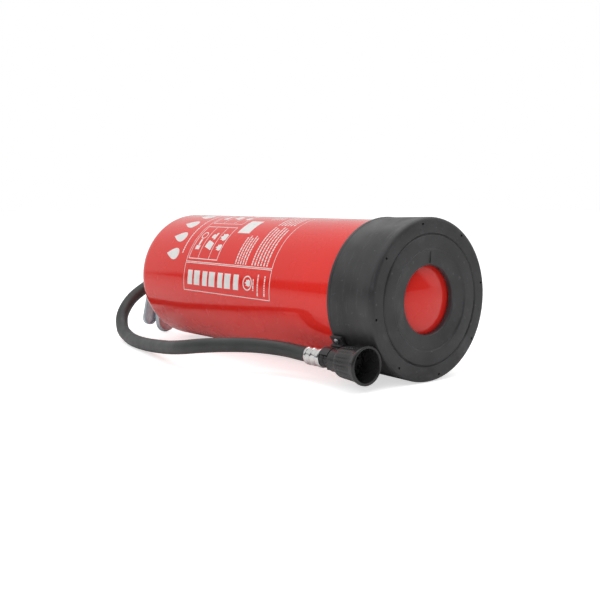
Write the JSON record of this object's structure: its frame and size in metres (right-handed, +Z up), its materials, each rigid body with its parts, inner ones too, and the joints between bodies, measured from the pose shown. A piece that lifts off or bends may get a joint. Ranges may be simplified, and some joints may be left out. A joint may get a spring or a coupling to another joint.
{
  "type": "fire extinguisher",
  "caption": "Red stored-pressure water fire extinguisher lying on its side, with black foot ring, hose, spray nozzle in its clip, squeeze levers, safety pin and pressure gauge.",
  "frame": {"origin": "middle of the bounding box on the floor that the extinguisher lies on, measured without the hose", "axes": "+X along the cylinder towards its foot, +Z up from the floor, -Y towards the side on which the hose and nozzle lie"},
  "size_m": [0.6015, 0.2699, 0.19],
  "materials": {
    "red_paint": "gloss",
    "black_plastic": "satin",
    "black_gloss": "gloss",
    "zinc": "satin",
    "bright_metal": "polished",
    "brass": "machined",
    "rubber": "matte",
    "white_plastic": "matte",
    "clear_lens": "clear"
  },
  "bodies": {
    "extinguisher": {"shell_body": "red_paint", "shell_base": "red_paint", "neck_collar": "red_paint", "foot_ring": "black_plastic", "nozzle_clip": "black_plastic", "clip_screw_1": "zinc", "clip_screw_2": "zinc", "nozzle_barrel": "black_gloss", "nozzle_grip": "black_gloss", "spray_plate": "black_gloss", "nozzle_tail": "brass", "nozzle_ferrule": "bright_metal", "hose": "rubber", "hose_ferrule": "bright_metal", "hose_fitting": "bright_metal", "valve_body": "bright_metal", "neck_gasket": "rubber", "stem_spring": "zinc", "tube_holder": "white_plastic", "dip_tube": "white_plastic", "dip_tube_strainer": "white_plastic", "gauge_case": "brass", "gauge_dial": "white_plastic", "gauge_lens": "clear_lens", "carry_handle": "zinc", "lever_pin": "zinc", "handle_pin_1": "zinc", "handle_pin_2": "zinc"},
    "operating_lever": {"operating_lever": "zinc"},
    "valve_stem": {"valve_stem": "brass", "stem_seal": "rubber"},
    "safety_pin": {"safety_pin": "zinc"},
    "pull_ring": {"pull_ring": "zinc"},
    "gauge_needle": {"gauge_needle": "black_plastic"}
  },
  "joints": [
    {"name": "lever_squeeze", "type": "hinge", "parent": "extinguisher", "child": "operating_lever", "pos_m": [-0.29225, 0.0151, 0.10674], "axis": [0, -0.9781, 0.2079], "range_deg": [0, 20], "stiffness_Nm_per_rad": 1.5, "springref_deg": -20.05},
    {"name": "stem_press", "type": "slide", "parent": "extinguisher", "child": "valve_stem", "axis": [1, 0, 0], "range_m": [0, 0.0044], "deforming": ["stem_spring"]},
    {"name": "pin_pull", "type": "slide", "parent": "extinguisher", "child": "safety_pin", "axis": [0, 0.9781, -0.2079], "range_m": [0, 0.04]},
    {"name": "ring_swing", "type": "hinge", "parent": "safety_pin", "child": "pull_ring", "pos_m": [-0.27625, 0.0286, 0.07166], "axis": [1, 0, 0], "range_deg": [-20, 140]},
    {"name": "needle_turn", "type": "hinge", "parent": "extinguisher", "child": "gauge_needle", "pos_m": [-0.24625, 0.01852, 0.12283], "axis": [0, 0.2079, 0.9781], "range_deg": [-120, 120]}
  ],
  "couplings": [
    {"joint": "stem_press", "follows": "lever_squeeze", "m_per_rad": 0.0124}
  ]
}
